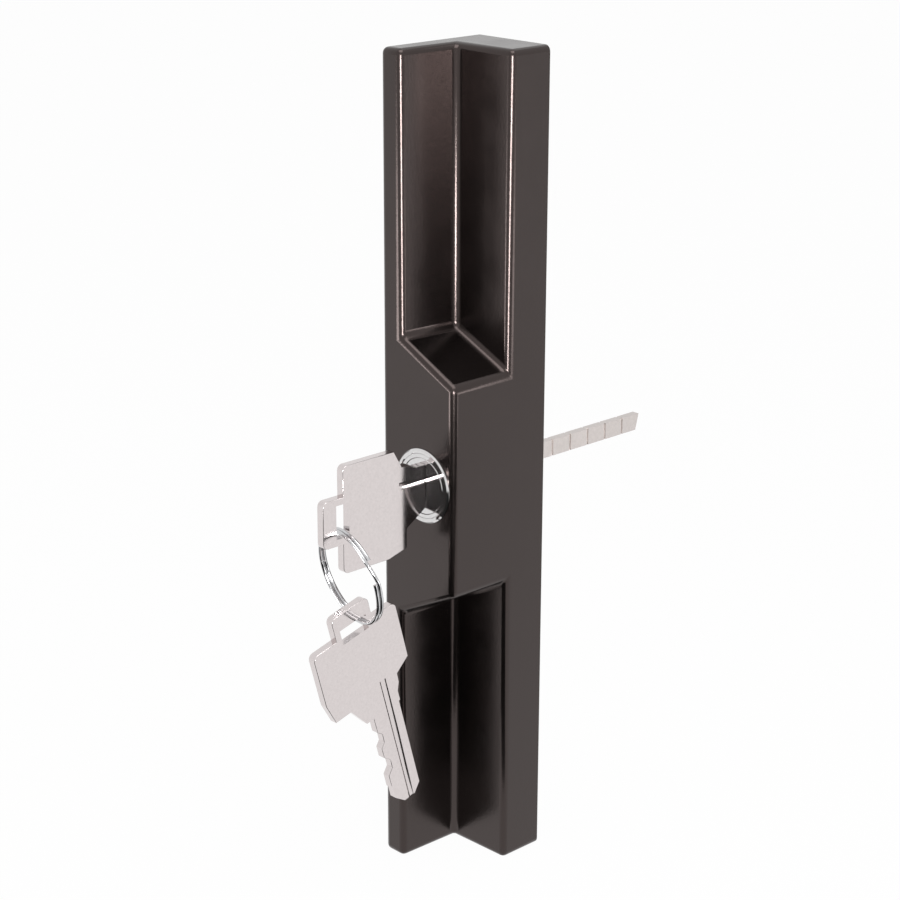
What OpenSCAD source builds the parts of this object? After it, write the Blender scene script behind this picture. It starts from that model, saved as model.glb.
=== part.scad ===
// Outside pull of a sliding patio door lock, with key cylinder, tailpiece, two keys and a split ring.
// Origin: middle of the back face, which lies on the door. X right seen from outside, Y into the door, Z up.

/* [Pull body] */
// Height of the pull
body_h = 203.2; // [196:0.2:240]
// Width of the pull
body_w = 24.5; // [22:0.1:30]
// Depth from the door to the front face
body_d = 30; // [29.6:0.1:34]
// Width of the front strip beside the finger notches
strip_w = 6.6; // [6:0.1:7.4]
// Depth of the finger notches, from the front
notch_d = 17.8; // [15:0.1:19]
// Height of the lock block at the strip
block_h = 69.2; // [66:0.2:90]
// How far each end of the block draws in across its width
block_slope = 9.1; // [6:0.1:9.6]
// Thickness of the cast side walls
wall = 1.8; // [1.5:0.1:2]
// Thickness of the wall that carries the lock face
front_wall = 3.2; // [2.8:0.1:3.4]
// Radius of the front left edge
front_r = 2.2; // [1:0.1:2.8]
// Radius of the other outer edges
edge_r = 1.5; // [0.6:0.1:1.6]
// Radius along the bottom of the finger notches
valley_r = 0.8; // [0.4:0.1:1.4]

/* [Mounting screws] */
// Distance between the two screw bosses
screw_spacing = 168.3; // [150:0.1:176]
// Bore for the mounting screw thread
screw_bore = 3.5; // [3:0.1:4.2]
// Depth of the screw bore
screw_depth = 8.6; // [6:0.1:9]
// Diameter of the screw bosses
boss_d = 8.4; // [7.5:0.1:10]

/* [Lock cylinder] */
// Space between the cylinder and the right side wall
side_gap = 0.6; // [0.4:0.1:1.4]
// Diameter of the plug
plug_d = 12.7; // [12.4:0.1:12.9]
// Wall of the shell round the plug
shell_wall = 1.45; // [1.2:0.05:1.5]
// Width of the bright trim ring
bezel_w = 1.2; // [1:0.1:1.4]
// How far the trim ring stands out from the front face
bezel_proud = 0.6; // [0.3:0.1:1]
// Depth of the trim ring's seat
bezel_seat = 1.2; // [0.8:0.1:1.6]
// Width of the pin tower on top of the shell
tower_w = 8.8; // [7.6:0.1:10]
// Thickness of the retainer plate
plate_t = 1.6; // [1.2:0.1:1.8]
// Diameter of the retainer screws
plate_screw_d = 3; // [2.6:0.1:3.2]
// Length of the retainer screws under the plate
plate_screw_l = 5; // [4:0.1:7]

/* [Pins] */
// Diameter of the pins
pin_d = 2.9; // [2.6:0.1:3]
// Distance between pins along the lock
pin_pitch = 4; // [3.8:0.05:4.1]
// Length of the upper pins
driver_l = 4.5; // [4:0.1:5]
// Room for each spring
spring_l = 3.5; // [3.4:0.1:4.2]
// Wire of the springs
spring_wire = 0.4; // [0.3:0.02:0.4]

/* [Keys] */
// Thickness of the keys
key_t = 2.1; // [1.8:0.1:2.2]
// Width across the bow
bow_w = 26.2; // [25:0.2:28]
// Length of the bow
bow_l = 19.6; // [18:0.2:22]
// Length of the neck between the bow and the lock face
neck_l = 5.8; // [5:0.1:8]
// Height of the blade
blade_h = 8.4; // [8:0.1:8.6]
// How far the bow's middle lies to the pins' side of the lock axis
key_rise = 2.1; // [1.6:0.1:2.6]
// Depth of one step of the key code
code_step = 0.4; // [0.3:0.02:0.44]
// Width of the tab with the ring slot
tab_w = 11.5; // [11:0.1:14]
// Reach of that tab beyond the bow
tab_l = 6; // [5.4:0.1:7]
// Length of the ring slot
slot_l = 8.2; // [7:0.1:8.6]
// Width of the ring slot
slot_w = 3.9; // [3.4:0.1:4.2]

/* [Key ring] */
// Mean diameter of the split ring
ring_d = 23.5; // [22:0.5:26]
// Wire of the split ring
ring_wire = 0.9; // [0.8:0.05:1]
// Space between the ring's two turns
ring_space = 0.46; // [0.44:0.01:0.5]
// Lean of the ring towards the door
ring_lean = 12; // [8:1:18]
// Turn of the ring about its hanging line
ring_turn = 8; // [0:1:10]
// Lean of the spare key towards the door
spare_lean = 15.5; // [8:0.5:17]

/* [Tailpiece] */
// Height of the tailpiece bar
tail_h = 4.2; // [3.6:0.1:5]
// Thickness of the tailpiece bar
tail_t = 2; // [1.6:0.1:2.4]
// Reach of the tailpiece behind the back face
tail_out = 44.5; // [30:0.5:60]
// Distance between the break-off scores
score_pitch = 6.35; // [5:0.05:8]

/* [Hidden] */
$fn = 64;
e = 0.02;
run = 0.05;
key_gap = 0.15;
// Steps cut under each pin: the lock key's go down to its tip, so that it slides past the pins
code = [1, 2, 2, 3, 4];
spare_code = [3, 0, 4, 0, 1];
pins = len(code);
half_w = body_w/2;
half_h = body_h/2;
strip_x = -half_w + strip_w;
base_y = -(body_d - notch_d);
block_far = block_h/2 - block_slope;
pocket_h = block_far - wall;
strip_core = strip_w - 2*wall;
// Along the lock, s runs from the front face into the door: y = s - body_d
plug_r = plug_d/2;
barrel_r = plug_r + run + shell_wall;
lock_x = half_w - wall - barrel_r - side_gap;
head_r = plug_r + 0.6;
head_s = -0.3;
head_l = 1.5;
bezel_r = barrel_r + run + bezel_w;
first_pin = front_wall + 3;
last_pin = first_pin + (pins - 1)*pin_pitch;
blade_end = last_pin + 4.2;
shell_end = last_pin + 3.7;
tower_s = front_wall + 0.1;
plate_s = shell_end + e;
plug_end = shell_end + 4.1;
clip_s = shell_end + 0.15;
clip_t = 0.7;
clip_r = head_r;
groove_r = plug_r - 1.1;
tail_s = clip_s + 1.1;
tail_pin_s = plug_end - 1.6;
tail_pin_d = 1.6;
tail_chamfer = 1.1;
// Heights from the lock axis towards the pins, which lie below it
blade_low = -plug_r + 1.05;
blade_top = blade_low + blade_h;
pin_top = sqrt(plug_r*plug_r - pin_d*pin_d/4) - 0.06;
driver_low = plug_r + 2*run;
driver_top = driver_low + driver_l;
spring_top = driver_top + run + spring_l;
cover_t = 1;
tower_top = spring_top + run + cover_t + run;
cover_w = tower_w/2;
plate_gap = 0.25;
screw_head_d = plate_screw_d*5/3;
screw_head_h = plate_screw_d*0.47;
screw_cross_w = plate_screw_d*0.2;
screw_cross_l = plate_screw_d*0.93;
plate_boss_d = 2*plate_screw_d;
plate_bore_l = plate_screw_l + plate_screw_d;
plate_z = tower_top + plate_boss_d/2 + side_gap;
plate_w = 2*(half_w - wall - plate_gap - lock_x);
plate_end = plate_z + screw_head_d/2 + plate_gap;
plate_hole = clip_r + 0.4;
// The key: a runs from the bow's end to the tip, b points to the pins when the key is in the lock
stop_a = bow_l + neck_l;
blade_b = blade_low - key_rise;
edge_b = blade_top - key_rise;
blade_l = blade_end - head_s + 0.1;
tip_a = stop_a + blade_l;
slot_a = -0.15;
tip_slope = 2.4;
cut_flat = 1.2;
key_y = -body_d + head_s - 0.1 - stop_a;
// The ring hangs in a lower corner of the slot; the spare key hangs from the ring
ring_r = ring_d/2;
turn_step = ring_wire + ring_space;
hang = turn_step/2*sin(50) + ring_wire/2 + 0.05;
side_hang = turn_step/2 + ring_wire/2 + key_t/2*tan(ring_turn) + 0.12;
ring_top = [lock_x, key_y + slot_a + slot_w/2 - side_hang, -key_rise - slot_l/2 + hang];
ring_low = ring_top + ring_d*[0, sin(ring_lean), -cos(ring_lean)];
spare_a = slot_a - slot_w/2 + hang;
spare_b = -slot_l/2 + side_hang;

function pin_s(i) = first_pin + i*pin_pitch;
function cut_z(i) = blade_top - code[i]*code_step;
function cut_b(cuts, i) = edge_b - (i < 0 ? 0 : cuts[i]*code_step);

// Points of a wound wire: turns of radius r, each point [angle, height]
function wound(r, way) = [for (p = way) [r*cos(p[0]), r*sin(p[0]), p[1]]];
// Least gap of a wound wire to itself, measured between points over half a turn apart
function least_gap(r, way, wire) =
    let (pts = wound(r, way))
    min([for (i = [0:len(pts) - 1]) for (j = [i + 1:1:len(pts) - 1])
        if (way[j][0] - way[i][0] > 180) norm(pts[i] - pts[j])]) - wire;

function spring_way() =
    let (turns = floor((spring_l - 2*run - spring_wire)/(spring_wire + 0.45)))
    let (rise = spring_l - 2*run - spring_wire)
    [for (k = [0:turns*16]) [k*360/16, rise*k/(turns*16)]];

function ring_way() =
    let (open = 14)
    [for (t = [open:7.5:720 - open])
        [t, turn_step*(max(0, min(1, (t - (360 - open))/(2*open))) - 0.5)]];

echo(ring_gap = least_gap(ring_r, ring_way(), ring_wire));
echo(spring_gap = least_gap(pin_d/2 - 0.35, spring_way(), spring_wire));

// Tube along a wound way, with a round section of the given sides
module tube(r, way, wire, sides) {
    n = len(way);
    pts = [for (p = way) for (k = [0:sides - 1])
        let (q = r + wire/2*cos(k*360/sides))
        [q*cos(p[0]), q*sin(p[0]), p[1] + wire/2*sin(k*360/sides)]];
    skin = [for (i = [0:n - 2]) for (k = [0:sides - 1])
        let (m = (k + 1)%sides)
        [i*sides + k, i*sides + m, (i + 1)*sides + m, (i + 1)*sides + k]];
    first = [for (k = [sides - 1:-1:0]) k];
    last = [for (k = [0:sides - 1]) (n - 1)*sides + k];
    polyhedron(pts, concat(skin, [first, last]));
}

// Piece to take off a square corner at [x, y]; sx and sy point into the solid
module corner(x, y, sx, sy, r) {
    translate([x, y])
        difference() {
            translate([sx > 0 ? -1 : -r, sy > 0 ? -1 : -r])
                square(r + 1);
            translate([sx*r, sy*r])
                circle(r);
        }
}

// Rectangle with one radius on all four corners
module round_rect(w, h, r) {
    difference() {
        square([w, h], center = true);
        for (sx = [-1, 1]) for (sy = [-1, 1])
            corner(sx*w/2, sy*h/2, -sx, -sy, r);
    }
}

// Places a piece drawn round Z on the lock axis, its Z running into the door from s
module on_axis(s) {
    translate([lock_x, s - body_d, 0])
        rotate([-90, 0, 0])
            children();
}

// Turns what is drawn with the pins up, so that they point down
module pins_down() {
    translate([lock_x, 0, 0])
        rotate([0, 180, 0])
            translate([-lock_x, 0, 0])
                children();
}

// Extrudes an outline drawn in X and Z from y0 to y1
module through_y(y0, y1) {
    translate([0, y1, 0])
        rotate([90, 0, 0])
            linear_extrude(y1 - y0)
                children();
}

module bar_section() {
    difference() {
        union() {
            translate([-half_w, base_y])
                square([body_w, -base_y]);
            translate([-half_w, -body_d])
                square([strip_w, body_d]);
            translate([strip_x, base_y])
                mirror([0, 1])
                    corner(0, 0, 1, 1, valley_r);
        }
        corner(-half_w, -body_d, 1, 1, front_r);
        corner(strip_x, -body_d, -1, 1, edge_r);
        corner(half_w, base_y, -1, 1, edge_r);
    }
}

module block_section() {
    translate([-half_w, -body_d])
        difference() {
            square([body_w, body_d]);
            corner(0, 0, 1, 1, front_r);
            corner(body_w, 0, -1, 1, edge_r);
        }
}

module block_side() {
    polygon([
        [-half_w - 1, block_h/2],
        [strip_x, block_h/2],
        [half_w + 1, block_far],
        [half_w + 1, -block_far],
        [strip_x, -block_h/2],
        [-half_w - 1, -block_h/2]
    ]);
}

module pull_outer() {
    linear_extrude(body_h, center = true)
        bar_section();
    intersection() {
        linear_extrude(body_h, center = true)
            block_section();
        through_y(-body_d - 1, 0)
            block_side();
    }
}

module pull_body() {
    color("#3c3532")
    difference() {
        union() {
            difference() {
                pull_outer();
                // Rounded front edge at the top and bottom of the strip
                for (t = [-1, 1])
                    translate([-half_w - 1, 0, 0])
                        rotate([90, 0, 90])
                            linear_extrude(strip_w + 2)
                                corner(-body_d, t*half_h, 1, -t, front_r);
                // Hollow behind the notches, core of the strip, and pocket of the lock block
                translate([-half_w + wall, base_y + wall, -half_h + wall])
                    cube([body_w - 2*wall, -base_y, body_h - 2*wall]);
                translate([-half_w + wall, -body_d + front_wall, -half_h + front_wall])
                    cube([strip_core, body_d, body_h - 2*front_wall]);
                translate([-half_w + wall, -body_d + front_wall, -pocket_h])
                    cube([body_w - 2*wall, body_d, 2*pocket_h]);
            }
            // Screw bosses with a rib to each side wall
            for (t = [-1, 1]) {
                translate([0, base_y + wall/2, t*screw_spacing/2])
                    rotate([-90, 0, 0])
                        cylinder(h = -base_y - wall/2, d = boss_d);
                translate([-half_w + wall/2, base_y + wall/2, t*screw_spacing/2 - 1])
                    cube([body_w - wall, -base_y - wall/2 - 2, 2]);
            }
            // Bosses for the retainer plate
            for (t = [-1, 1])
                translate([0, 0, t*plate_z])
                    on_axis(front_wall/2)
                        cylinder(h = shell_end - front_wall/2, d = plate_boss_d);
        }
        for (t = [-1, 1]) {
            translate([0, -screw_depth, t*screw_spacing/2])
                rotate([-90, 0, 0])
                    cylinder(h = screw_depth + 1, d = screw_bore);
            translate([0, 0, t*plate_z])
                on_axis(shell_end - plate_bore_l)
                    cylinder(h = plate_bore_l + 1, d = plate_screw_d);
        }
        on_axis(-1)
            cylinder(h = front_wall + 2, r = barrel_r + run);
        on_axis(-1)
            cylinder(h = bezel_seat + 1, r = bezel_r + e);
    }
}

module cylinder_bezel() {
    color("#d4d2cf")
    on_axis(0)
        rotate_extrude()
            polygon([
                [barrel_r + run, bezel_seat - e],
                [barrel_r + run, -bezel_proud + 0.25],
                [barrel_r + run + 0.25, -bezel_proud],
                [bezel_r - 0.35, -bezel_proud],
                [bezel_r, -bezel_proud + 0.35],
                [bezel_r, bezel_seat - e]
            ]);
}

module tower_outline() {
    difference() {
        translate([-tower_w/2, 0])
            square([tower_w, tower_top]);
        corner(-tower_w/2, tower_top, 1, -1, 1);
        corner(tower_w/2, tower_top, -1, -1, 1);
    }
}

module cylinder_shell() {
    color("#b9a983")
    pins_down()
    difference() {
        union() {
            on_axis(head_s)
                cylinder(h = shell_end - head_s, r = barrel_r);
            translate([lock_x, 0, 0])
                through_y(tower_s - body_d, shell_end - body_d)
                    tower_outline();
        }
        on_axis(-1)
            cylinder(h = shell_end + 2, r = plug_r + run);
        on_axis(-1)
            cylinder(h = head_s + head_l + run + 1, r = head_r + run);
        for (i = [0:pins - 1])
            translate([lock_x, pin_s(i) - body_d, 0])
                cylinder(h = tower_top, d = pin_d + 2*run);
        translate([lock_x - cover_w/2 - run, tower_s - body_d - 1, tower_top - cover_t - run])
            cube([cover_w + 2*run, last_pin + pin_d - tower_s + 1, cover_t + 1]);
    }
}

module driver_pin(i) {
    color("#c9a24b")
    pins_down()
    translate([lock_x, pin_s(i) - body_d, driver_low])
        rotate_extrude()
            polygon([
                [0, 0],
                [pin_d/2 - 0.25, 0],
                [pin_d/2, 0.25],
                [pin_d/2, driver_l - 0.25],
                [pin_d/2 - 0.25, driver_l],
                [0, driver_l]
            ]);
}

module pin_spring(i) {
    color("#9aa0a6")
    pins_down()
    translate([lock_x, pin_s(i) - body_d, driver_top + run + spring_wire/2])
        tube(pin_d/2 - 0.35, spring_way(), spring_wire, 6);
}

module chamber_cover() {
    color("#c9a24b")
    pins_down()
    translate([lock_x - cover_w/2, tower_s - body_d, tower_top - cover_t])
        cube([cover_w, last_pin + pin_d - tower_s - run, cover_t]);
}

module retainer_plate() {
    color("#8d9196")
    translate([lock_x, 0, 0])
        through_y(plate_s - body_d, plate_s + plate_t - body_d)
            difference() {
                round_rect(plate_w, 2*plate_end, 2.4);
                circle(plate_hole);
                for (t = [-1, 1])
                    translate([0, t*plate_z])
                        circle(plate_screw_d/2 + plate_gap);
            }
}

module retainer_screws() {
    color("#9aa0a6")
    for (t = [-1, 1])
        translate([0, 0, t*plate_z])
            on_axis(plate_s + plate_t + e)
                difference() {
                    union() {
                        cylinder(h = screw_head_h, d = screw_head_d);
                        translate([0, 0, -plate_t - plate_screw_l])
                            cylinder(h = plate_t + plate_screw_l + e, d = plate_screw_d - 2*run);
                    }
                    for (q = [0, 90])
                        rotate(q)
                            translate([-screw_cross_l/2, -screw_cross_w/2, screw_head_h*0.45])
                                cube([screw_cross_l, screw_cross_w, screw_head_h]);
                }
}

module lock_plug() {
    low = min([for (i = [0:pins - 1]) cut_z(i)]);
    slot = key_t/2 + key_gap;
    color("#cfc39c")
    pins_down()
    difference() {
        on_axis(0)
            rotate_extrude()
                polygon([
                    [0, head_s],
                    [head_r - 0.2, head_s],
                    [head_r, head_s + 0.2],
                    [head_r, head_s + head_l],
                    [plug_r, head_s + head_l],
                    [plug_r, clip_s - run],
                    [groove_r, clip_s - run],
                    [groove_r, clip_s + clip_t + run],
                    [plug_r, clip_s + clip_t + run],
                    [plug_r, plug_end - 0.3],
                    [plug_r - 0.3, plug_end],
                    [0, plug_end]
                ]);
        // Keyway, with a ward on each side
        translate([lock_x, 0, 0])
            through_y(head_s - body_d - 1, blade_end + 0.2 - body_d)
                difference() {
                    translate([-slot, blade_low - key_gap])
                        square([2*slot, blade_h + 2*key_gap]);
                    translate([slot - 0.35, key_groove(1) + 0.25 + key_rise])
                        square([1, 0.8]);
                    translate([-slot - 0.65, key_groove(-1) + 0.25 + key_rise])
                        square([1, 0.8]);
                }
        for (i = [0:pins - 1])
            translate([lock_x, pin_s(i) - body_d, low - 0.4])
                cylinder(h = plug_d, d = pin_d + 2*run);
        translate([lock_x, 0, 0])
            through_y(tail_s - run - body_d, plug_end + 1 - body_d)
                square([tail_t + 2*run, tail_h + 2*run], center = true);
        translate([lock_x - plug_d, tail_pin_s - body_d, 0])
            rotate([0, 90, 0])
                cylinder(h = 2*plug_d, d = tail_pin_d + e);
    }
}

module key_pin(i) {
    foot = cut_z(i) + run;
    color("#c9a24b")
    pins_down()
    translate([lock_x, pin_s(i) - body_d, 0])
        rotate_extrude()
            polygon([
                [0, foot],
                [0.5, foot],
                [pin_d/2, foot + pin_d/2 - 0.5],
                [pin_d/2, pin_top],
                [0, pin_top]
            ]);
}

module plug_clip() {
    color("#8d9196")
    on_axis(clip_s)
        linear_extrude(clip_t)
            difference() {
                circle(clip_r);
                circle(groove_r + run);
                polygon([[0, 0], [1.3*clip_r, -0.72*clip_r], [1.3*clip_r, 0.72*clip_r]]);
            }
}

module tailpiece() {
    far = body_d + tail_out;
    scores = floor((tail_out - 8)/score_pitch);
    color("#a59e94")
    difference() {
        translate([lock_x - tail_t/2, -body_d, 0])
            rotate([90, 0, 90])
                linear_extrude(tail_t)
                    polygon([
                        [tail_s, -tail_h/2],
                        [far - tail_chamfer, -tail_h/2],
                        [far, tail_h/2],
                        [tail_s, tail_h/2]
                    ]);
        for (k = [1:scores]) for (t = [-1, 1])
            translate([lock_x + t*tail_t/2, tail_out - k*score_pitch, 0])
                cube([0.7, 0.5, tail_h + 1], center = true);
        translate([lock_x - plug_d, tail_pin_s - body_d, 0])
            rotate([0, 90, 0])
                cylinder(h = 2*plug_d, d = tail_pin_d + e);
    }
}

module tailpiece_pin() {
    color("#8d9196")
    translate([lock_x - plug_r + 0.5, tail_pin_s - body_d, 0])
        rotate([0, 90, 0])
            cylinder(h = plug_d - 1, d = tail_pin_d);
}

// Lower edge of the groove on each side of the blade
function key_groove(side) = blade_b + (side > 0 ? 5 : 2.6);

// Edge of a blade: a flat under each pin, with a slope down or up to the next
function bitting(cuts) =
    concat(
        [[stop_a, edge_b]],
        [for (i = [0:pins - 1])
            let (mid = stop_a + pin_s(i) - head_s + 0.1)
            let (before = cut_b(cuts, i - 1), here = cut_b(cuts, i))
            let (rise = here - before)
            let (from = rise > 0 ? mid - pin_pitch + cut_flat : mid - cut_flat + rise)
            each [[from, before], [from + abs(rise), here]]]
    );

module key_outline(cuts) {
    last = cut_b(cuts, pins - 1);
    edge = bitting(cuts);
    difference() {
        union() {
            difference() {
                polygon(concat(
                    [
                        [0, bow_w/2],
                        [0, -bow_w/2],
                        [bow_l - 4, -bow_w/2],
                        [bow_l - 1.5, -bow_w/2 + 4.3],
                        [bow_l + 0.9, -bow_w/2 + 4.4],
                        [bow_l + 3, blade_b - 0.4],
                        [stop_a, blade_b - 0.4],
                        [stop_a, blade_b],
                        [tip_a - 2.2, blade_b],
                        [tip_a, blade_b + 2.2],
                        [tip_a, last - tip_slope],
                        [tip_a - tip_slope, last]
                    ],
                    [for (k = [len(edge) - 1:-1:0]) edge[k]],
                    [
                        [stop_a, edge_b + 2.2],
                        [bow_l, edge_b + 5.8],
                        [bow_l, bow_w/2 - 1.5],
                        [bow_l - 5.6, bow_w/2]
                    ]
                ));
                for (t = [-1, 1])
                    corner(0, t*bow_w/2, 1, -t, 1.2);
            }
            difference() {
                translate([-tab_l, -tab_w/2])
                    square([tab_l + 1, tab_w]);
                for (t = [-1, 1])
                    corner(-tab_l, t*tab_w/2, 1, -t, 1.6);
            }
        }
        translate([slot_a - slot_w/2, -slot_l/2])
            difference() {
                square([slot_w, slot_l]);
                for (sx = [0, 1]) for (sy = [0, 1])
                    corner(sx*slot_w, sy*slot_l, 1 - 2*sx, 1 - 2*sy, 0.5);
            }
    }
}

// A key lying in a and b, its thickness centred; side 1 is the face on the a cross b side
module key_solid(cuts) {
    difference() {
        translate([0, 0, -key_t/2])
            linear_extrude(key_t)
                key_outline(cuts);
        for (t = [-1, 1])
            translate([bow_l - 2.4, key_groove(t), t > 0 ? key_t/2 - 0.5 : -key_t/2 - 0.5])
                cube([tip_a, 1.3, 1]);
    }
}

module lock_key() {
    color("#d8cdcb")
    translate([lock_x, key_y, -key_rise])
        rotate([-90, 0, 90])
            key_solid(code);
}

module key_ring() {
    color("#b8babc")
    translate((ring_top + ring_low)/2)
        rotate([ring_lean - 90, 0, 0])
            rotate([0, ring_turn, 0])
                rotate(-25)
                    tube(ring_r, ring_way(), ring_wire, 10);
}

module spare_key() {
    color("#d8cdcb")
    translate(ring_low)
        rotate([spare_lean, 0, 0])
            rotate([0, 90, 180])
                translate([-spare_a, -spare_b, 0])
                    key_solid(spare_code);
}

pull_body();
cylinder_bezel();
cylinder_shell();
for (i = [1:pins])
    driver_pin(i - 1);
for (i = [1:pins])
    pin_spring(i - 1);
chamber_cover();
retainer_plate();
retainer_screws();
lock_plug();
for (i = [1:pins])
    key_pin(i - 1);
plug_clip();
tailpiece();
tailpiece_pin();
lock_key();
key_ring();
spare_key();
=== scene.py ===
import math

import bmesh
import bpy
from mathutils import Matrix, Vector


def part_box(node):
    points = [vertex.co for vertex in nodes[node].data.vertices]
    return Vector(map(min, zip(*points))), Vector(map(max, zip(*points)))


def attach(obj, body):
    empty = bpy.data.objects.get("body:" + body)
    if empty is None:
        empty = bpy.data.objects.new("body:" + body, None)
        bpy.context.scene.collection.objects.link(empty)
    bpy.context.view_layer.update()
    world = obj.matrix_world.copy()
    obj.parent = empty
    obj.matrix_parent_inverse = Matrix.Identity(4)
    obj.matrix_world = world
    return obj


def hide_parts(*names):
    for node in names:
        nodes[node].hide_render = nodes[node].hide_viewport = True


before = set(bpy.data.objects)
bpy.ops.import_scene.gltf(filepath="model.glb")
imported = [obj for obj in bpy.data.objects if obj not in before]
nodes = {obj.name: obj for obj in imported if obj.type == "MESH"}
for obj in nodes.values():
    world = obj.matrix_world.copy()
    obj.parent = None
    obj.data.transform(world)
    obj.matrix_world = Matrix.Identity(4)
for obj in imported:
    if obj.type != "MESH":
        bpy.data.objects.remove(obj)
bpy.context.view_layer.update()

# Pull body
# Die-cast zinc in charcoal semi-gloss paint: a tall bar with its front right corner cut away above
# and below a full block for the lock. It is hollow behind, and two screws through the door hold it.
low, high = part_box("pull_body")
strip_x, notch_y = -0.00565, -0.0122
block_top, block_side = 0.0346, 0.02598
slope_rise, slope_run = block_top - block_side, high.x - strip_x
edge_round, draft, hair = 0.0015, 0.0005, 1e-6
wall, front_wall = 0.0018, 0.0032
lock_x, bore_r, seat_r, seat_deep = 0.0020, 0.0079, 0.00912, 0.0012


def draw_out(bm, faces, way):
    """Draws faces out into a solid, the given way and length."""
    grown = bmesh.ops.extrude_face_region(bm, geom=faces)["geom"]
    bmesh.ops.translate(bm, vec=way, verts=[g for g in grown if isinstance(g, bmesh.types.BMVert)])


bm = bmesh.new()
section = [
    (low.x, 0), (high.x, 0), (high.x, notch_y),
    (strip_x, notch_y), (strip_x, low.y), (low.x, low.y),
]
foot = bm.faces.new([bm.verts.new((x, y, low.z)) for x, y in section])
draw_out(bm, [foot], (0, 0, high.z - low.z))

# The lock block grows from the notched bar between two sloping planes
for end in (1, -1):
    bmesh.ops.bisect_plane(
        bm,
        geom=bm.verts[:] + bm.edges[:] + bm.faces[:],
        plane_co=(strip_x, 0, end * block_top),
        plane_no=(slope_rise, 0, end * slope_run),
    )
bm.normal_update()
block_root = [
    f for f in bm.faces
    if abs(f.calc_center_median().y - notch_y) < hair and abs(f.calc_center_median().z) < block_side
]
draw_out(bm, block_root, (0, low.y - notch_y, 0))
bmesh.ops.remove_doubles(bm, verts=bm.verts[:], dist=hair)
inner = [
    f for f in bm.faces
    if abs(f.calc_center_median().z) < block_side and (
        abs(f.calc_center_median().x - strip_x) < hair or abs(f.calc_center_median().y - notch_y) < hair)
]
bmesh.ops.delete(bm, geom=inner, context="FACES")
bmesh.ops.recalc_face_normals(bm, faces=bm.faces[:])
bmesh.ops.dissolve_limit(bm, angle_limit=0.001, verts=bm.verts[:], edges=bm.edges[:])
bm.normal_update()

# Casting draft: the inner corner of the notches lies further out, and keeps to the block's sloping ends
for v in bm.verts:
    if abs(v.co.x - strip_x) < hair and abs(v.co.y - notch_y) < hair:
        at_block = abs(v.co.z) < high.z - hair
        drop = draft * slope_rise / slope_run if at_block else 0
        v.co += Vector((draft, -draft, -math.copysign(drop, v.co.z)))
bm.normal_update()
cast_edges = [e for e in bm.edges if any(abs(v.co.y) > hair for v in e.verts)]
bmesh.ops.bevel(
    bm, geom=cast_edges, offset=edge_round, segments=5, profile=0.5, affect="EDGES", material=-1
)
pull = bpy.data.objects.new("pull_casting", bpy.data.meshes.new("pull_casting"))
bm.to_mesh(pull.data)
bm.free()
bpy.context.collection.objects.link(pull)


def box_tool(corner_a, corner_b):
    """A box between two corners, to cut with or to join on."""
    bm = bmesh.new()
    a, b = Vector(corner_a), Vector(corner_b)
    bmesh.ops.create_cube(bm, size=1, matrix=Matrix.LocRotScale((a + b) / 2, None, b - a))
    return bm


def bar_tool(x, z, y_from, y_to, r):
    """A round bar along Y, to cut with or to join on."""
    bm = bmesh.new()
    bmesh.ops.create_cone(
        bm, cap_ends=True, segments=72, radius1=r, radius2=r, depth=y_to - y_from,
        matrix=Matrix.Translation((x, (y_from + y_to) / 2, z)) @ Matrix.Rotation(math.pi / 2, 4, "X"),
    )
    return bm


def machine(piece, step, tools):
    """Cuts each tool out of the piece or joins it on, and clears the tool away."""
    for bm in tools:
        tool = bpy.data.objects.new("cutter", bpy.data.meshes.new("cutter"))
        bm.to_mesh(tool.data)
        bm.free()
        bpy.context.collection.objects.link(tool)
        cut = piece.modifiers.new("cut", "BOOLEAN")
        cut.operation, cut.solver, cut.object = step, "EXACT", tool
        bpy.context.view_layer.update()
        done = bpy.data.meshes.new_from_object(piece.evaluated_get(bpy.context.evaluated_depsgraph_get()))
        piece.modifiers.remove(cut)
        piece.data = done
        bpy.data.objects.remove(tool)


# Cavities behind the skin, ribbed screw bosses, posts for the lock's plate, and the holes in them
hollow_x, lock_room, past = high.x - wall, 0.0237, 0.001
boss_z, boss_r, screw_r, screw_end = 0.08415, 0.0042, 0.00175, -0.0086
rib_half, rib_rear = 0.001, -0.002
post_z, post_r, post_rear, tap_r, tap_deep = 0.0192, 0.003, -0.0041, 0.0015, 0.008
machine(pull, "DIFFERENCE", [
    box_tool((-hollow_x, notch_y + wall, low.z + wall), (hollow_x, past, high.z - wall)),
    box_tool(
        (-hollow_x, low.y + front_wall, low.z + front_wall),
        (strip_x - wall, past, high.z - front_wall),
    ),
    box_tool((-hollow_x, low.y + front_wall, -lock_room), (hollow_x, past, lock_room)),
])
machine(pull, "UNION", [
    bar_tool(0, z, notch_y + wall / 2, 0, boss_r) for z in (-boss_z, boss_z)
] + [
    bar_tool(lock_x, z, low.y + front_wall / 2, post_rear, post_r) for z in (-post_z, post_z)
] + [
    box_tool(
        (-hollow_x - wall / 2, notch_y + wall / 2, z - rib_half),
        (hollow_x + wall / 2, rib_rear, z + rib_half),
    )
    for z in (-boss_z, boss_z)
])
machine(pull, "DIFFERENCE", [
    bar_tool(0, z, screw_end, past, screw_r) for z in (-boss_z, boss_z)
] + [
    bar_tool(lock_x, z, post_rear - tap_deep, past, tap_r) for z in (-post_z, post_z)
] + [
    bar_tool(lock_x, 0, low.y - past, low.y + front_wall + past, bore_r),
    bar_tool(lock_x, 0, low.y - past, low.y + seat_deep, seat_r),
])

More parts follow.
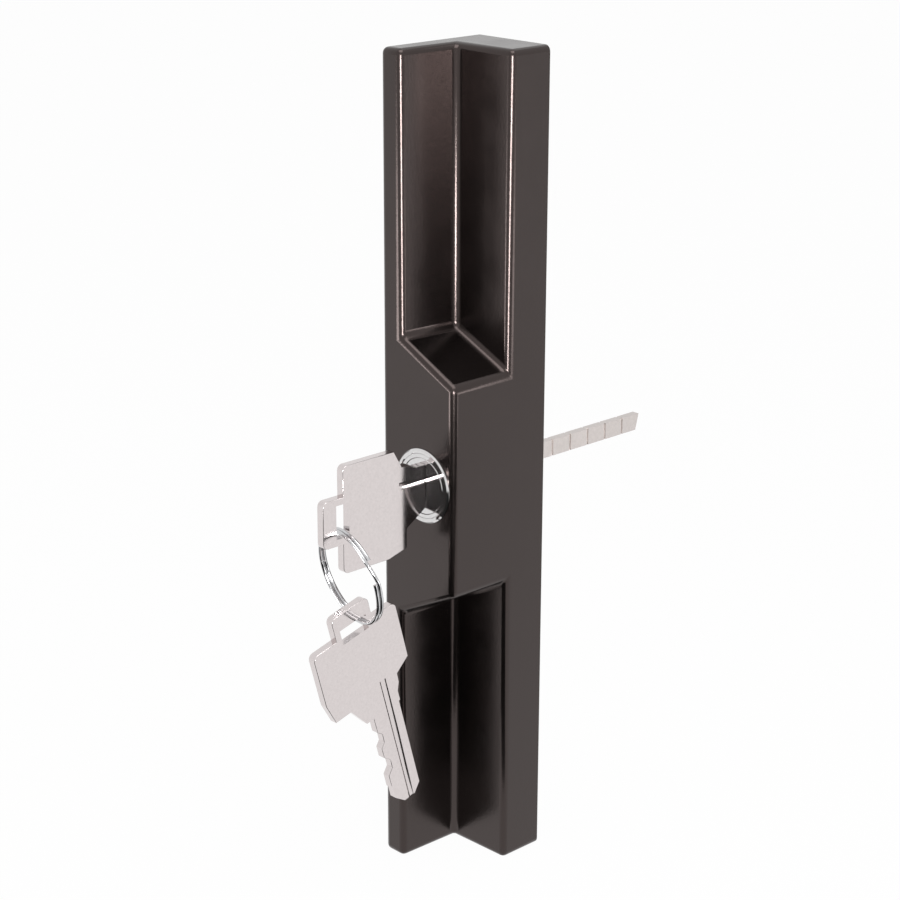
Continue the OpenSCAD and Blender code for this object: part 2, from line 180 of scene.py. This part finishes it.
# Flat faces and the drafted walls stay flat, and only the rounds are shaded smooth
flat_ways = [Vector(way) for way in ((1, 0, 0), (0, 1, 0), (0, 0, 1))] + [
    Vector((slope_rise, 0, end * slope_run)).normalized() for end in (1, -1)
]
pull.data.set_sharp_from_angle(angle=math.radians(32))
for face in pull.data.polygons:
    face.use_smooth = all(abs(face.normal.dot(way)) < 0.998 for way in flat_ways)

# Fine unevenness of a cast, painted or tumbled surface, for every finish below
grain = bpy.data.node_groups.new("surface_grain", "ShaderNodeTree")
grain.interface.new_socket("Scale", in_out="INPUT", socket_type="NodeSocketFloat")
grain.interface.new_socket("Relief", in_out="INPUT", socket_type="NodeSocketFloat")
grain.interface.new_socket("Tone", in_out="OUTPUT", socket_type="NodeSocketFloat")
grain.interface.new_socket("Normal", in_out="OUTPUT", socket_type="NodeSocketVector")
grain_in = grain.nodes.new("NodeGroupInput")
grain_out = grain.nodes.new("NodeGroupOutput")
place = grain.nodes.new("ShaderNodeTexCoord")
speckle = grain.nodes.new("ShaderNodeTexNoise")
speckle.inputs["Detail"].default_value = 3
relief = grain.nodes.new("ShaderNodeBump")
grain.links.new(place.outputs["Object"], speckle.inputs["Vector"])
grain.links.new(grain_in.outputs["Scale"], speckle.inputs["Scale"])
grain.links.new(grain_in.outputs["Relief"], relief.inputs["Distance"])
grain.links.new(speckle.outputs["Fac"], relief.inputs["Height"])
grain.links.new(speckle.outputs["Fac"], grain_out.inputs["Tone"])
grain.links.new(relief.outputs["Normal"], grain_out.inputs["Normal"])


def finish_of(name, dark, light, rough, metallic=0.0, relief=0.00002):
    """A finish whose colour drifts between dark and light and whose gloss drifts over a rough range."""
    mat = bpy.data.materials.new(name)
    mat.use_nodes = True
    tree = mat.node_tree
    skin = tree.nodes["Principled BSDF"]
    fine = tree.nodes.new("ShaderNodeGroup")
    fine.node_tree = grain
    fine.inputs["Scale"].default_value = 1800
    fine.inputs["Relief"].default_value = relief
    broad = tree.nodes.new("ShaderNodeGroup")
    broad.node_tree = grain
    broad.inputs["Scale"].default_value = 120
    broad.inputs["Relief"].default_value = 0
    tone = tree.nodes.new("ShaderNodeMix")
    tone.data_type = "RGBA"
    tone.inputs["A"].default_value = (*dark, 1)
    tone.inputs["B"].default_value = (*light, 1)
    gloss = tree.nodes.new("ShaderNodeMapRange")
    gloss.inputs["To Min"].default_value = rough[0]
    gloss.inputs["To Max"].default_value = rough[1]
    gloss.inputs["From Min"].default_value = 0.3
    gloss.inputs["From Max"].default_value = 0.7
    tree.links.new(fine.outputs["Tone"], tone.inputs["Factor"])
    tree.links.new(broad.outputs["Tone"], gloss.inputs["Value"])
    tree.links.new(tone.outputs["Result"], skin.inputs["Base Color"])
    tree.links.new(gloss.outputs["Result"], skin.inputs["Roughness"])
    tree.links.new(fine.outputs["Normal"], skin.inputs["Normal"])
    skin.inputs["Metallic"].default_value = metallic
    return mat


paint = finish_of("charcoal_paint", (0.001, 0.0008, 0.0008), (0.002, 0.0017, 0.0016), (0.18, 0.24))
paint_skin = paint.node_tree.nodes["Principled BSDF"]
paint_skin.inputs["IOR"].default_value = 1.62
paint_skin.inputs["Specular Tint"].default_value = (1.0, 0.80, 0.76, 1)
pull.data.materials.clear()
pull.data.materials.append(paint)
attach(pull, "pull")
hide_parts("pull_body")

# Lock cylinder
# Brass shell and plug with a bright chrome face and trim ring, five pins and springs in a tower below.
# A plate and two screws hold it in the block; an open clip holds the plug.
chrome = finish_of(
    "bright_chrome", (0.62, 0.61, 0.61), (0.74, 0.73, 0.73), (0.05, 0.09), metallic=1, relief=0.000002
)
brass = finish_of("yellow_brass", (0.52, 0.36, 0.14), (0.68, 0.49, 0.22), (0.25, 0.38), metallic=1)
steel = finish_of("zinc_steel", (0.42, 0.42, 0.41), (0.58, 0.58, 0.56), (0.28, 0.42), metallic=1)
spring_steel = finish_of("spring_steel", (0.36, 0.36, 0.37), (0.50, 0.50, 0.51), (0.2, 0.3), metallic=1)
cylinder_finish = {
    "cylinder_bezel": chrome, "lock_plug": chrome, "cylinder_shell": chrome, "chamber_cover": brass,
    "retainer_plate": steel, "retainer_screws": steel, "plug_clip": spring_steel, "tailpiece_pin": steel,
}
for i in range(1, 6):
    cylinder_finish[f"driver_pin_{i}"] = brass
    cylinder_finish[f"key_pin_{i}"] = brass
    cylinder_finish[f"pin_spring_{i}"] = spring_steel
for name, finish in cylinder_finish.items():
    nodes[name].data.materials.clear()
    nodes[name].data.materials.append(finish)

# Tailpiece
# Flat bar of rolled steel that takes the plug's turn to the latch, pinned in the plug's rear slot.
# It is scored across so that it can be snapped to length.
tail = finish_of("rolled_steel", (0.54, 0.50, 0.48), (0.68, 0.63, 0.61), (0.3, 0.45), metallic=1)
nodes["tailpiece"].data.materials.clear()
nodes["tailpiece"].data.materials.append(tail)

# Keys
# Stamped nickel-plated brass, a wide bow with a ring loop at its end and a grooved blade cut on one edge.
# One is in the lock with its cuts down; the other hangs from the ring.
key_thick, key_round, corner_round = 0.0021, 0.00010, 0.0014
bow_long, bow_half, stop_at, stop_back = 0.0196, 0.0131, 0.0254, -0.0078
blade_back, blade_edge, tip_at, tip_back, tip_bevel = -0.0074, 0.0010, 0.0522, -0.0052, 0.0022
pin_at, pin_pitch, cut_step, cut_flat, tip_slope = 0.0320, 0.0040, 0.0004, 0.0012, 0.0024
loop_out, loop_half, slot_in, slot_out, slot_half = -0.0060, 0.00575, 0.0018, -0.0021, 0.0041
groove_r, groove_deep, groove_from, groove_long = 0.0018, 0.00028, 0.0172, 0.1
groove_lines = ((1, -0.00175), (-1, -0.00415))
through = 0.01

soft_corners = {(loop_out, loop_half), (loop_out, -loop_half), (0, bow_half), (0, -bow_half)}
nickel = finish_of(
    "key_nickel", (0.63, 0.58, 0.575), (0.74, 0.685, 0.68), (0.10, 0.15), metallic=1, relief=0.000004
)
lock_key_at = (lock_x, -0.0558, -0.0021)
lock_key_place = Matrix.Translation(lock_key_at) @ Matrix(
    ((0, 0, -1, 0), (1, 0, 0, 0), (0, -1, 0, 0), (0, 0, 0, 1)))
ring_low = Vector((lock_x, -0.050512, -0.028166))
lean, hang = math.radians(15.5), (0.00108, 0.0027, 0)
spare_key_place = Matrix.Translation(ring_low) @ Matrix((
    (0, 0, -1, 0),
    (math.sin(lean), -math.cos(lean), 0, 0),
    (-math.cos(lean), -math.sin(lean), 0, 0),
    (0, 0, 0, 1),
)) @ Matrix.Translation(hang)
for name, body, key_place, cuts in (
    ("lock_key", "key_in_lock", lock_key_place, (1, 2, 2, 3, 4)),
    ("spare_key", "spare", spare_key_place, (3, 0, 4, 0, 1)),
):
    # Outline from the ring loop along the back of the blade to the tip, and back along the cuts
    last_cut = blade_edge - cuts[-1] * cut_step
    outline = [
        (0, bow_half), (0, loop_half), (loop_out, loop_half), (loop_out, -loop_half), (0, -loop_half),
        (0, -bow_half), (0.0156, -bow_half), (0.0181, -0.0088), (0.0205, -0.0087), (0.0226, stop_back),
        (stop_at, stop_back), (stop_at, blade_back), (tip_at - tip_bevel, blade_back), (tip_at, tip_back),
        (tip_at, last_cut - tip_slope), (tip_at - tip_slope, last_cut),
    ]
    for k in reversed(range(len(cuts))):
        here = blade_edge - cuts[k] * cut_step
        before = blade_edge - (cuts[k - 1] * cut_step if k else 0)
        pin_here = pin_at + k * pin_pitch
        if here < before:
            slope_from, slope_to = pin_here - cut_flat - before + here, pin_here - cut_flat
        else:
            slope_from = pin_here - pin_pitch + cut_flat
            slope_to = slope_from + here - before
        if here != before:
            outline += [(slope_to, here), (slope_from, before)]
    outline += [
        (stop_at, blade_edge), (stop_at, 0.0032), (bow_long, 0.0068), (bow_long, 0.0116), (0.0140, bow_half),
    ]
    bm = bmesh.new()
    bm.faces.new([bm.verts.new((a, b, -key_thick / 2)) for a, b in outline])
    corners = [v for v in bm.verts if any(
        abs(v.co.x - a) < hair and abs(v.co.y - b) < hair for a, b in soft_corners)]
    bmesh.ops.bevel(
        bm, geom=corners, offset=corner_round, segments=4, profile=0.5, affect="VERTICES", material=-1
    )
    draw_out(bm, bm.faces[:], (0, 0, key_thick))
    bmesh.ops.recalc_face_normals(bm, faces=bm.faces[:])
    rim = [e for e in bm.edges if abs(e.verts[0].co.z - e.verts[1].co.z) < 1e-9]
    bmesh.ops.bevel(
        bm, geom=rim, offset=key_round, segments=3, profile=0.5, affect="EDGES", material=-1
    )
    key = bpy.data.objects.new(name + "_blank", bpy.data.meshes.new(name + "_blank"))
    bm.to_mesh(key.data)
    bm.free()
    bpy.context.collection.objects.link(key)

    # The slot for the ring, then a round groove along each face of the blade
    key_tools = [box_tool((slot_out, -slot_half, -through), (slot_in, slot_half, through))]
    groove_up = key_thick / 2 + groove_r - groove_deep
    for side, line in groove_lines:
        groove = bmesh.new()
        groove_mid = (groove_from + groove_long / 2, line, side * groove_up)
        bmesh.ops.create_cone(
            groove, cap_ends=True, segments=32, radius1=groove_r, radius2=groove_r, depth=groove_long,
            matrix=Matrix.Translation(groove_mid) @ Matrix.Rotation(math.pi / 2, 4, "Y"),
        )
        key_tools.append(groove)
    machine(key, "DIFFERENCE", key_tools)
    key.data.set_sharp_from_angle(angle=math.radians(40))
    for face in key.data.polygons:
        face.use_smooth = 0.001 < abs(face.normal.z) < 0.9995
    key.data.transform(key_place)
    key.data.materials.clear()
    key.data.materials.append(nickel)
    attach(key, body)
    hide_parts(name)

# Key ring
# Split ring of round spring steel wire, two turns wound side by side, bright plated.
# Its turns cross once, and it hangs loose through the loops of both keys.
ring_r, wire_r, turn_step = 0.01175, 0.00045, 0.00096
ring_tip, ring_twist, ring_start = math.radians(12 - 90), math.radians(8), math.radians(-25)
opening, turn_count, cross_count = math.radians(14), 96, 10
ring_top = Vector((lock_x, -0.055398, -0.005179))
ring_place = (
    Matrix.Translation((ring_top + ring_low) / 2)
    @ Matrix.Rotation(ring_tip, 4, "X") @ Matrix.Rotation(ring_twist, 4, "Y")
    @ Matrix.Rotation(ring_start, 4, "Z")
)
bm = bmesh.new()
bmesh.ops.create_circle(
    bm, cap_ends=True, segments=20, radius=wire_r,
    matrix=Matrix.Rotation(opening, 4, "Z") @ Matrix.Translation((ring_r, 0, -turn_step / 2))
    @ Matrix.Rotation(math.pi / 2, 4, "X"),
)
front = bm.faces[:]
for sweep, count, rise in (
    (2 * math.pi - 2 * opening, turn_count, 0),
    (2 * opening, cross_count, turn_step / cross_count),
    (2 * math.pi - 2 * opening, turn_count, 0),
):
    swept = bmesh.ops.spin(
        bm, geom=front, cent=(0, 0, 0), axis=(0, 0, 1), dvec=(0, 0, rise), angle=sweep, steps=count
    )
    front = [g for g in swept["geom_last"] if isinstance(g, bmesh.types.BMFace)]
bmesh.ops.recalc_face_normals(bm, faces=bm.faces[:])
bmesh.ops.transform(bm, matrix=ring_place, verts=bm.verts[:])
ring = bpy.data.objects.new("split_ring", bpy.data.meshes.new("split_ring"))
bm.to_mesh(ring.data)
bm.free()
bpy.context.collection.objects.link(ring)
ring.data.shade_smooth()
ring.data.set_sharp_from_angle(angle=math.radians(50))
ring_plate = finish_of(
    "ring_plating", (0.55, 0.55, 0.56), (0.68, 0.68, 0.69), (0.05, 0.10), metallic=1, relief=0.000003
)
ring.data.materials.append(ring_plate)
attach(ring, "ring")
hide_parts("key_ring")

# Studio
# White sweep under and behind the part, its near edge just out of view, with a dark room beyond it.
# Soft light comes from all sides above that edge, and from softboxes overhead, in front and at both sides.
azimuth, pitch, roll = math.radians(46.56), math.radians(18.53), math.radians(0.16)
floor_edge = [
    (-3, -0.4), (-0.1, -0.045), (0.02, -0.045), (0.03, -0.16),
    (0.12, -0.2), (3, -0.4), (3, 6), (-3, 6),
]
bm = bmesh.new()
bm.faces.new([bm.verts.new((x, y, low.z)) for x, y in floor_edge])
bmesh.ops.rotate(bm, matrix=Matrix.Rotation(azimuth, 3, "Z"), verts=bm.verts[:])
floor = bpy.data.objects.new("floor", bpy.data.meshes.new("floor"))
bm.to_mesh(floor.data)
bm.free()
bpy.context.collection.objects.link(floor)
white = bpy.data.materials.new("white_sweep")
white.use_nodes = True
tree = white.node_tree
tree.nodes.clear()
out = tree.nodes.new("ShaderNodeOutputMaterial")
mix = tree.nodes.new("ShaderNodeMixShader")
matt = tree.nodes.new("ShaderNodeBsdfDiffuse")
matt.inputs["Color"].default_value = (0.86, 0.86, 0.86, 1)
glow = tree.nodes.new("ShaderNodeEmission")
path = tree.nodes.new("ShaderNodeLightPath")
seen = tree.nodes.new("ShaderNodeMath")
seen.operation = "MAXIMUM"
tree.links.new(path.outputs["Is Camera Ray"], seen.inputs[0])
tree.links.new(path.outputs["Is Glossy Ray"], seen.inputs[1])
share = tree.nodes.new("ShaderNodeMath")
share.operation = "MULTIPLY"
share.inputs[1].default_value = 0.97
tree.links.new(seen.outputs[0], share.inputs[0])
tree.links.new(share.outputs[0], mix.inputs["Fac"])
tree.links.new(matt.outputs[0], mix.inputs[1])
tree.links.new(glow.outputs[0], mix.inputs[2])
tree.links.new(mix.outputs[0], out.inputs["Surface"])
floor.data.materials.append(white)

# Tent of soft light, dim below the floor's edge and white to the camera
world = bpy.data.worlds.new("tent")
bpy.context.scene.world = world
world.use_nodes = True
tree = world.node_tree
sky = tree.nodes["Background"]
way = tree.nodes.new("ShaderNodeTexCoord")
parts = tree.nodes.new("ShaderNodeSeparateXYZ")
shade = tree.nodes.new("ShaderNodeMapRange")
shade.inputs["From Min"].default_value = -0.26
shade.inputs["From Max"].default_value = -0.12
shade.inputs["To Min"].default_value = 0.02
shade.inputs["To Max"].default_value = 0.95
path = tree.nodes.new("ShaderNodeLightPath")
gain = tree.nodes.new("ShaderNodeMapRange")
gain.inputs["To Min"].default_value = 0.5
gain.inputs["To Max"].default_value = 1
dimmed = tree.nodes.new("ShaderNodeMath")
dimmed.operation = "MULTIPLY"
level = tree.nodes.new("ShaderNodeMath")
level.operation = "MAXIMUM"
tree.links.new(way.outputs["Generated"], parts.inputs[0])
tree.links.new(parts.outputs["Z"], shade.inputs["Value"])
tree.links.new(path.outputs["Is Glossy Ray"], gain.inputs["Value"])
tree.links.new(shade.outputs["Result"], dimmed.inputs[0])
tree.links.new(gain.outputs["Result"], dimmed.inputs[1])
tree.links.new(dimmed.outputs[0], level.inputs[0])
tree.links.new(path.outputs["Is Camera Ray"], level.inputs[1])
tree.links.new(level.outputs[0], sky.inputs["Strength"])
sky.inputs["Color"].default_value = (1, 1, 1, 1)

# Camera, from the photograph's own edges
ahead = Vector((
    -math.sin(azimuth) * math.cos(pitch), math.cos(azimuth) * math.cos(pitch), -math.sin(pitch)
))
camera = bpy.data.objects.new("camera", bpy.data.cameras.new("camera"))
camera.data.lens = 88.7
camera.data.sensor_width = 36
camera.data.clip_start = 0.01
camera.location = (0.3647, -0.3648, 0.17435)
facing = ahead.to_track_quat("-Z", "Y").to_matrix().to_4x4() @ Matrix.Rotation(roll, 4, "Z")
camera.rotation_euler = facing.to_euler()
bpy.context.collection.objects.link(camera)
bpy.context.scene.camera = camera

# Softboxes, each turned to the middle of the part
for name, place, size, power in (
    ("overhead softbox", (0.12, -0.05, 0.45), 0.35, 1.0),
    ("front softbox", (0.655, -0.493, 0.07), 0.24, 6.8),
    ("left softbox", (-0.292, -0.745, -0.10), 0.25, 1.4),
    ("right softbox", (0.728, 0.333, -0.10), 0.25, 0.7),
):
    softbox = bpy.data.objects.new(name, bpy.data.lights.new(name, "AREA"))
    softbox.data.size = size
    softbox.data.energy = power
    softbox.location = place
    softbox.rotation_euler = (-Vector(place)).to_track_quat("-Z", "Y").to_euler()
    bpy.context.collection.objects.link(softbox)

bpy.context.scene.view_settings.view_transform = "Standard"
